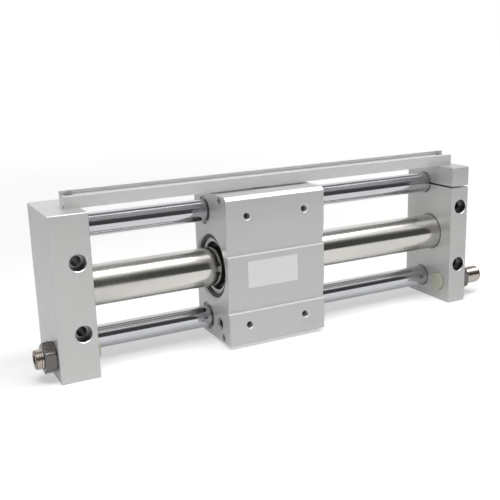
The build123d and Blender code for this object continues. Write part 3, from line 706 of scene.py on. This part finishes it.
def ridges(name, places, pitch, run, radius, depth, sunk, turned_to, material_name):
    """Thread ridges of one kind at places, as one plain mesh object."""
    points = bpy.data.meshes.new(name + "_points")
    points.from_pydata([tuple(p) for p in places], [], [])
    holder = linked(name + "_points", points)
    tree = ridge_tree()
    modifier = holder.modifiers.new("ridges", "NODES")
    modifier.node_group = tree
    turns = run / pitch
    values = {
        "Pitch": pitch, "Turns": turns, "Radius": radius, "Depth": depth, "Sink": sunk,
        "Rows": stage_settings().detail, "Turned": turned_to, "Finish": finish(material_name),
    }
    for item in tree.interface.items_tree:
        if item.in_out == "INPUT" and item.name in values:
            modifier[item.identifier] = values[item.name]
    bpy.context.view_layer.update()
    seen = holder.evaluated_get(bpy.context.evaluated_depsgraph_get())
    mesh = bpy.data.meshes.new_from_object(seen)
    bpy.data.objects.remove(holder)
    bpy.data.meshes.remove(points)
    welded = bmesh.new()
    welded.from_mesh(mesh)
    bpy.data.meshes.remove(mesh)
    return from_bmesh(name, welded, material_name)


# Operators, one for each piece or group of like pieces


class CYLINDER_OT_end_plates(bpy.types.Operator):
    """Machined end plates with broken edges"""

    bl_idname = "cylinder.end_plates"
    bl_label = "End plates"

    rim: length("Rim", 0.05, "Depth behind the front where a fixing hole's wall starts")
    bore: length("Bore", 5.7, "Radius inside which a plate's face belongs to a fixing hole")

    def execute(self, context):
        (x, _, z), reach_x, reach_z = hole_pattern("frame_bolts")
        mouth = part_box("plate_a")[0].y + self.rim
        bore = self.bore

        def in_fixing_hole(centre, normal):
            aside = abs(abs(centre.x - x) - reach_x), abs(abs(centre.z - z) - reach_z)
            return centre.y > mouth and max(aside) < bore

        for node, skin in (("plate_a", "anodised_plate"), ("plate_b", "anodised_slit_plate")):
            plate = merged_copy(node, f"{node}_body", skin, sizes().edge)
            # Painted shade on the walls of the fixing holes, with a painted highlight at their
            # mouth
            paint(plate, "bored_metal", in_fixing_hole)
            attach(plate, "frame")
        return {"FINISHED"}


class CYLINDER_OT_slide_block(bpy.types.Operator):
    """Slide block with its two ledges"""

    bl_idname = "cylinder.slide_block"
    bl_label = "Slide block"

    # The shelf and the rims bound the faces that get the painted highlight
    shelf: length("Shelf", 2.2, "Depth behind the front that holds the ledges")
    rim_depth: length("Rim depth", 0.65, "Depth of the rims of the table holes")
    rim_radius: length("Rim radius", 4.5, "Radius that holds a table hole and its rim")

    def execute(self, context):
        block = merged_copy("slide_block", "slide_block_body", "anodised_block", sizes().block_edge)
        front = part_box("slide_block")[0].y
        shelf, deep, wide = self.shelf, self.rim_depth, self.rim_radius
        holes = table_holes()

        def gets_painted_highlight(centre, normal):
            """True on the ledges, on the chamfer above the front and on the holes' rims, which get
            a painted highlight.
            """
            if centre.y < front + shelf and normal.z > LEDGE_LEVEL:
                return True
            slanted = centre.y < front + deep and RIM_STEEP < normal.y < RIM_SHALLOW
            return slanted and any(hypot(centre.x - x, centre.z - z) < wide for x, _, z in holes)

        # Painted light: faces that point up get a lighter copy of the block's colour
        paint(block, "milled_top", lambda centre, normal: normal.z > BLOCK_LEVEL)
        # Painted highlight on the ledges, the chamfer above the front and the table holes' rims
        paint(block, "bright_cut", gets_painted_highlight)
        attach(block, "carriage")
        return {"FINISHED"}


class CYLINDER_OT_switch_rail(bpy.types.Operator):
    """Extruded switch rail"""

    bl_idname = "cylinder.switch_rail"
    bl_label = "Switch rail"

    # The land gets a painted highlight
    land: length("Land", 4.0, "Depth behind the rail's front that holds its bright land")

    def execute(self, context):
        rail = merged_copy("switch_rail", "switch_rail_body", "anodised_rail", sizes().edge)
        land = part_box("switch_rail")[0].y + self.land

        def gets_land_highlight(centre, normal):
            return normal.z > RAIL_LEVEL and centre.y < land

        # Painted light: faces that point up get a lighter copy of the rail's colour
        paint(rail, "milled_top", lambda centre, normal: normal.z > RAIL_LEVEL)
        # Painted highlight on the rail's front land, and through the bevel on its broken edges
        paint(rail, "bright_cut", gets_land_highlight)
        rail.modifiers["broken edge"].material = len(rail.data.materials) - 1
        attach(rail, "frame")
        return {"FINISHED"}


class CYLINDER_OT_tube(bpy.types.Operator):
    """Polished cylinder tube"""

    bl_idname = "cylinder.tube"
    bl_label = "Tube"

    wall: length("Wall", 1.4, "Wall of the tube")

    def execute(self, context):
        low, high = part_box("cylinder_tube")
        outer = (high.z - low.z) / 2
        inner = outer - self.wall
        outline = [(low.x, outer), (high.x, outer), (high.x, inner), (low.x, inner)]
        line = centre_line("cylinder_tube")
        tube = turned("cylinder_tube_body", line, outline, "stainless_tube", closed=True)
        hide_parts("cylinder_tube")
        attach(tube, "frame")
        return {"FINISHED"}


class CYLINDER_OT_guide_shafts(bpy.types.Operator):
    """Hard chromed guide shafts, the lower one hollow"""

    bl_idname = "cylinder.guide_shafts"
    bl_label = "Guide shafts"

    chamfer: length("Chamfer", 0.8, "Chamfer on a shaft's end")
    air_way: length("Air way", 5.0, "Bore of the hollow shaft")

    def execute(self, context):
        for node, hollow in (("guide_shaft_lower", True), ("guide_shaft_upper", False)):
            low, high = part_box(node)
            outer = (high.z - low.z) / 2
            cut = self.chamfer
            bore = self.air_way / 2 if hollow else 0
            outline = [
                (low.x, bore), (low.x, outer - cut), (low.x + cut, outer),
                (high.x - cut, outer), (high.x, outer - cut), (high.x, bore),
            ]
            shaft = turned(f"{node}_body", centre_line(node), outline, "hard_chrome", closed=hollow)
            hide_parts(node)
            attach(shaft, "frame")
        return {"FINISHED"}


class CYLINDER_OT_stop_bolts(bpy.types.Operator):
    """Stroke adjusting bolts: a core with a hexagon socket, and a thread ridge round it"""

    bl_idname = "cylinder.stop_bolts"
    bl_label = "Stop bolts"

    def execute(self, context):
        s = sizes()
        for side, inward in (("left", 1), ("right", -1)):
            node = f"adjusting_bolt_{side}"
            low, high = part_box(node)
            y, z = line = centre_line(node)
            crest = (high.z - low.z) / 2
            root = crest - s.thread_depth
            end, foot = (low.x, high.x)[::inward]
            lead = s.bolt_chamfer

            def socket(turn):
                return hex_radius(s.bolt_socket, turn)

            bottom = end + inward * s.bolt_socket_depth
            outline = [
                (bottom, 0),
                (bottom, socket),
                (end, socket),
                (end, crest - lead),
                (end + inward * (lead - s.thread_depth), root),
                (foot - inward * lead * BOLT_FOOT_LENGTH, root),
                (foot, root - lead * BOLT_FOOT_DEPTH),
                (foot, 0),
            ]
            # The core, with the thread's roots, its end and its socket, carries painted shade; the
            # ridge is bright nickel
            core = turned(f"{node}_core", line, outline, "stained_nickel", around=HEX_SECTION)
            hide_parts(node)
            run = high.x - low.x - 2 * lead
            start = (low.x + lead, y, z)
            thread = ridges(
                f"{node}_thread", [start], s.bolt_pitch, run, root, s.thread_depth,
                s.thread_depth * RIDGE_SINK, (0, radians(90), 0), "bright_nickel",
            )
            for piece in (core, thread):
                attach(piece, f"{side}_stop")
        return {"FINISHED"}


class CYLINDER_OT_lock_nuts(bpy.types.Operator):
    """Lock nuts with both faces chamfered at the corners"""

    bl_idname = "cylinder.lock_nuts"
    bl_label = "Lock nuts"

    def execute(self, context):
        s = sizes()
        for side in ("left", "right"):
            node = f"lock_nut_{side}"
            low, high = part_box(node)
            bolt_low, bolt_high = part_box(f"adjusting_bolt_{side}")
            bore = (bolt_high.z - bolt_low.z) / 2 + NUT_GAP
            tall = (high.z - low.z) / 2
            face = s.nut_flats / 2 * NUT_FACE
            drop = (tall - face) * NUT_SLOPE

            def across(turn):
                # the nut stands on a corner, so the flats face the front and the back
                return min(hex_radius(s.nut_flats, turn), tall)

            def bevelled(x_in):
                def radius(turn):
                    return min(across(turn), face + x_in / NUT_SLOPE)

                return radius

            depths = [drop * i / NUT_STEPS for i in range(1, NUT_STEPS + 1)]
            outline = [(low.x, bore), (low.x, face)]
            outline += [(low.x + depth, bevelled(depth)) for depth in depths]
            outline += [(high.x - depth, bevelled(depth)) for depth in reversed(depths)]
            outline += [(high.x, face), (high.x, bore)]
            nut = turned(
                f"{node}_body", centre_line(node), outline, "dark_nickel", closed=True,
                around=HEX_SECTION,
            )
            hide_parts(node)
            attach(nut, "frame")
        return {"FINISHED"}


class CYLINDER_OT_bumpers(bpy.types.Operator):
    """Cast bumpers with a rounded face"""

    bl_idname = "cylinder.bumpers"
    bl_label = "Bumpers"

    stem: length("Stem", 3.0, "Radius of the stem that holds a bumper")
    stem_length: length("Stem length", 5.0, "Length of the stem")

    def execute(self, context):
        s = sizes()
        for side, inward in (("left", 1), ("right", -1)):
            node = f"bumper_{side}"
            low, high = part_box(node)
            outer = (high.z - low.z) / 2
            stem_end, face = (low.x, high.x)[::inward]
            seat = stem_end + inward * self.stem_length
            edge = s.bumper_edge
            turns = [pi / 2 * i / ARC_STEPS for i in range(ARC_STEPS + 1)]
            rounding = [
                (face - inward * edge * (1 - sin(turn)), outer - edge * (1 - cos(turn)))
                for turn in turns
            ]
            outline = [(stem_end, 0), (stem_end, self.stem), (seat, self.stem), (seat, outer)]
            outline += rounding + [(face, 0)]
            bumper = turned(f"{node}_body", centre_line(node), outline, "cast_urethane")
            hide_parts(node)
            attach(bumper, f"{side}_stop")
        return {"FINISHED"}


class CYLINDER_OT_hole_threads(bpy.types.Operator):
    """Thread ridges in the tapped holes of the table"""

    bl_idname = "cylinder.hole_threads"
    bl_label = "Hole threads"

    run: length("Run", 9.4, "Length of thread in a table hole")
    lead: length("Lead", 0.9, "Plain mouth before the thread starts")

    def execute(self, context):
        s = sizes()
        places = [(x, y + self.lead, z) for x, y, z in table_holes()]
        wall = mount_named("table_bolts")["dims"]["hole_r_mm"] * MM
        table_threads = ridges(
            "table_hole_threads", places, s.tapped_pitch, self.run, wall, -s.tapped_depth,
            TAPPED_SINK, (radians(-90), 0, 0), "anodised_block",
        )
        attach(table_threads, "carriage")
        return {"FINISHED"}


class CYLINDER_OT_label_plate(bpy.types.Operator):
    """Bare label plate on the front of the block"""

    bl_idname = "cylinder.label_plate"
    bl_label = "Label plate"

    def execute(self, context):
        s = sizes()
        low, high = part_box("slide_block")
        left, foot = low.x + s.label_left, low.z + s.label_foot
        right, top = left + s.label_width, foot + s.label_height
        back = low.y + LABEL_SINK
        front = low.y - s.label_thick
        corner = s.label_corner
        made = bmesh.new()
        outline = []
        for cx, cz, start in (
            (right - corner, top - corner, 0), (left + corner, top - corner, 1),
            (left + corner, foot + corner, 2), (right - corner, foot + corner, 3),
        ):
            for i in range(LABEL_STEPS + 1):
                turn = pi / 2 * (start + i / LABEL_STEPS)
                outline.append((cx + corner * cos(turn), cz + corner * sin(turn)))
        fronts = [made.verts.new((x, front, z)) for x, z in outline]
        backs = [made.verts.new((x, back, z)) for x, z in outline]
        made.faces.new(fronts)
        made.faces.new(backs[::-1])
        for i in range(len(outline)):
            j = (i + 1) % len(outline)
            made.faces.new((fronts[i], backs[i], backs[j], fronts[j]))
        label = from_bmesh("label_plate", made, "label_film")
        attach(label, "carriage")
        return {"FINISHED"}


class CYLINDER_OT_mouth_parts(bpy.types.Operator):
    """Rings, spacers, bushings and strike screws that show in the ends of the block"""

    bl_idname = "cylinder.mouth_parts"
    bl_label = "Mouth parts"

    # The gap's faces get painted shade
    gap: length("Gap", 18.0, "Radius of the dark gap round the tube, inside the spacers")

    def execute(self, context):
        y, z = centre_line("cylinder_tube")
        gap = self.gap

        def in_shaded_gap(centre, normal):
            return abs(normal.x) < SIDEWAYS and hypot(centre.y - y, centre.z - z) < gap

        for node, name, slot in (
            ("retaining_rings", "spring_steel", "spring_steel"),
            ("end_spacers", "pale_resin", "pale_resin"),
            ("upper_bushings", "bearing_bronze", "bearing"),
            ("lower_bushings", "bearing_bronze", "bearing"),
            ("strike_screws", "soft_iron", "spring_steel"),
        ):
            piece = merged_copy(node, f"{node}_body", name, sizes().edge * SMALL_EDGE)
            # Painted shade: the spacers' walls in the gap round the tube get the dark finish, where
            # there is only shade
            if node == "end_spacers":
                paint(piece, "dark_resin", in_shaded_gap)
            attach(piece, "carriage")
        return {"FINISHED"}


class CYLINDER_OT_fasteners(bpy.types.Operator):
    """Rail, clamp and shaft screws"""

    bl_idname = "cylinder.fasteners"
    bl_label = "Fasteners"

    def execute(self, context):
        for node in ("rail_screws", "clamp_screw", "shaft_screws"):
            piece = merged_copy(node, f"{node}_body", "black_oxide", sizes().edge * SMALL_EDGE)
            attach(piece, "frame")
        return {"FINISHED"}


class CYLINDER_OT_inner_parts(bpy.types.Operator):
    """Seals, magnets, yokes and piston, which the housing hides"""

    bl_idname = "cylinder.inner_parts"
    bl_label = "Inner parts"

    def execute(self, context):
        inner = {
            "seal_rubber": ("tube_seals", "shaft_seals", "piston_seals"),
            "cast_urethane": ("tube_dampers",),
            "sintered_magnet": ("outer_magnets", "inner_magnets", "switch_magnet"),
            "soft_iron": ("outer_yokes", "inner_yokes"),
            "stainless_tube": ("slider_sleeve",),
            "dark_resin": ("slider_wear_rings", "piston_wear_bands"),
            "bright_nickel": ("piston_rod", "piston_nuts"),
            "turned_alloy": ("pistons",),
        }
        for name, nodes in inner.items():
            for node in nodes:
                keep_node(node, name)
        return {"FINISHED"}


def ray_kinds(tree, *kinds):
    """A socket that is 1 for any of these kinds of ray."""
    light_path = tree.nodes.new("ShaderNodeLightPath")
    total = light_path.outputs[kinds[0]]
    for kind in kinds[1:]:
        either = {0: total, 1: light_path.outputs[kind]}
        total = add(tree, "ShaderNodeMath", either, operation="MAXIMUM").outputs["Value"]
    return total


def stage_sheet(name, corners):
    """A sheet with four corners, and the empty node tree of its material."""
    mesh = bpy.data.meshes.new(name)
    mesh.from_pydata(corners, [], [(0, 1, 2, 3)])
    material = bpy.data.materials.new(name)
    material.use_nodes = True
    material.node_tree.nodes.clear()
    mesh.materials.append(material)
    return linked(name, mesh), material.node_tree


def card(name, corners, low_level, high_level, fade_from, fade_to):
    """A studio card that only reflections see. Its glow runs from low_level to high_level
    between two heights."""
    made, tree = stage_sheet(name, corners)
    where = tree.nodes.new("ShaderNodeTexCoord").outputs["Object"]
    height = add(tree, "ShaderNodeSeparateXYZ", {"Vector": where}).outputs["Z"]
    level = remapped(tree, height, fade_from, fade_to, low_level, high_level)
    glow = add(tree, "ShaderNodeEmission", {"Strength": level})
    add(tree, "ShaderNodeOutputMaterial", {"Surface": glow.outputs["Emission"]})
    made.visible_camera = False
    made.visible_diffuse = False
    made.visible_shadow = False
    made.visible_transmission = False


class CYLINDER_OT_stage(bpy.types.Operator):
    """Pale floor, soft light, dark cards for the reflections, and the camera"""

    bl_idname = "cylinder.stage"
    bl_label = "Stage"

    def execute(self, context):
        self.light_room()
        self.lay_floor()
        self.hang_softbox()
        self.hang_cards()
        self.place_camera()
        context.scene.view_settings.view_transform = "Standard"
        return {"FINISHED"}

    def light_room(self):
        world = bpy.data.worlds.new("room")
        bpy.context.scene.world = world
        world.use_nodes = True
        tree = world.node_tree
        tree.nodes.clear()
        level = stage_settings().ambient
        dim = add(tree, "ShaderNodeBackground", {"Color": (level, level, level, 1)})
        white = add(tree, "ShaderNodeBackground", {"Color": (1, 1, 1, 1)})
        seen = ray_kinds(tree, "Is Camera Ray", "Is Glossy Ray", "Is Transmission Ray")
        rooms = {1: dim.outputs["Background"], 2: white.outputs["Background"]}
        mix = add(tree, "ShaderNodeMixShader", {"Fac": seen, **rooms})
        add(tree, "ShaderNodeOutputWorld", {"Surface": mix.outputs["Shader"]})

    def lay_floor(self):
        s = stage_settings()
        reach = FLOOR_REACH
        corners = [(-reach, -reach, 0), (reach, -reach, 0), (reach, reach, 0), (-reach, reach, 0)]
        floor, tree = stage_sheet("floor", corners)
        diffuse = add(tree, "ShaderNodeBsdfDiffuse", {"Color": (*s.floor, 1)})
        where = tree.nodes.new("ShaderNodeTexCoord").outputs["Object"]
        away = add(tree, "ShaderNodeVectorMath", {0: where}, operation="LENGTH").outputs["Value"]
        lift = remapped(tree, away, GLOW_FROM, GLOW_TO, s.floor_near, s.floor_far)
        seen = ray_kinds(tree, "Is Camera Ray", "Is Transmission Ray")
        strength = add(tree, "ShaderNodeMix", {"Factor": seen, "A": s.floor_glossy, "B": lift})
        glow = add(tree, "ShaderNodeEmission", {"Strength": strength.outputs["Result"]})
        layers = {0: diffuse.outputs["BSDF"], 1: glow.outputs["Emission"]}
        both = add(tree, "ShaderNodeAddShader", layers)
        add(tree, "ShaderNodeOutputMaterial", {"Surface": both.outputs["Shader"]})

    def hang_softbox(self):
        lamp = bpy.data.lights.new("softbox", "AREA")
        lamp.shape = "RECTANGLE"
        lamp.size, lamp.size_y = SOFTBOX_SIZE
        lamp.energy = stage_settings().softbox
        held = linked("softbox", lamp)
        held.location = SOFTBOX_PLACE
        held.rotation_euler = (SOFTBOX_TILT, 0, 0)

    def hang_cards(self):
        left, right = CARD_LEFT, CARD_RIGHT
        front, foot, head = -0.40, 0.05, 0.54
        dark, pale, fade_from = 0.07, 0.50, 0.33
        card(
            "front_card",
            [(left, front, foot), (right, front, foot), (right, front, head), (left, front, head)],
            dark, pale, fade_from, head,
        )
        near, far, low, high = 0.15, 0.78, 1.28, 1.35
        grey = 0.24
        card(
            "back_card",
            [(left, far, low), (right, far, low), (right, near, high), (left, near, high)],
            grey, grey, low, high,
        )

    def place_camera(self):
        s = stage_settings()
        camera = linked("camera", bpy.data.cameras.new("camera"))
        camera.data.lens = s.lens
        level = cos(s.elevation)
        ahead = Vector((-sin(s.azimuth) * level, cos(s.azimuth) * level, -sin(s.elevation)))
        right = ahead.cross(Vector((0, 0, 1))).normalized()
        up = right.cross(ahead)
        tilted_right = right * cos(s.roll) + up * sin(s.roll)
        tilted_up = up * cos(s.roll) - right * sin(s.roll)
        turn = Matrix((tilted_right, tilted_up, -ahead)).transposed()
        camera.matrix_world = Matrix.Translation(s.place) @ turn.to_4x4()
        bpy.context.scene.camera = camera


OPERATORS = (
    CYLINDER_OT_end_plates,
    CYLINDER_OT_slide_block,
    CYLINDER_OT_switch_rail,
    CYLINDER_OT_tube,
    CYLINDER_OT_guide_shafts,
    CYLINDER_OT_stop_bolts,
    CYLINDER_OT_lock_nuts,
    CYLINDER_OT_bumpers,
    CYLINDER_OT_hole_threads,
    CYLINDER_OT_label_plate,
    CYLINDER_OT_mouth_parts,
    CYLINDER_OT_fasteners,
    CYLINDER_OT_inner_parts,
    CYLINDER_OT_stage,
)


class CYLINDER_PT_panel(bpy.types.Panel):
    """Lists the pieces and the values behind them"""

    bl_label = "Guided rodless cylinder"
    bl_idname = "CYLINDER_PT_panel"
    bl_space_type = "VIEW_3D"
    bl_region_type = "UI"
    bl_category = "Cylinder"

    def draw(self, context):
        for operator in OPERATORS:
            self.layout.operator(operator.bl_idname)
        for group in (sizes(), colours(), stage_settings()):
            box = self.layout.box()
            for name in group.bl_rna.properties.keys():
                if name not in ("rna_type", "name"):
                    box.prop(group, name)


GROUPS = (
    (CylinderSizes, "cylinder_sizes"),
    (CylinderColours, "cylinder_colours"),
    (StageSettings, "cylinder_stage"),
)


def register():
    for group, name in GROUPS:
        bpy.utils.register_class(group)
        setattr(bpy.types.Scene, name, PointerProperty(type=group))
    for item in (*OPERATORS, CYLINDER_PT_panel):
        bpy.utils.register_class(item)


def unregister():
    for item in (CYLINDER_PT_panel, *reversed(OPERATORS)):
        bpy.utils.unregister_class(item)
    for group, name in reversed(GROUPS):
        delattr(bpy.types.Scene, name)
        bpy.utils.unregister_class(group)


def main():
    register()
    for operator in OPERATORS:
        category, name = operator.bl_idname.split(".")
        getattr(getattr(bpy.ops, category), name)()


if __name__ == "__main__":
    main()
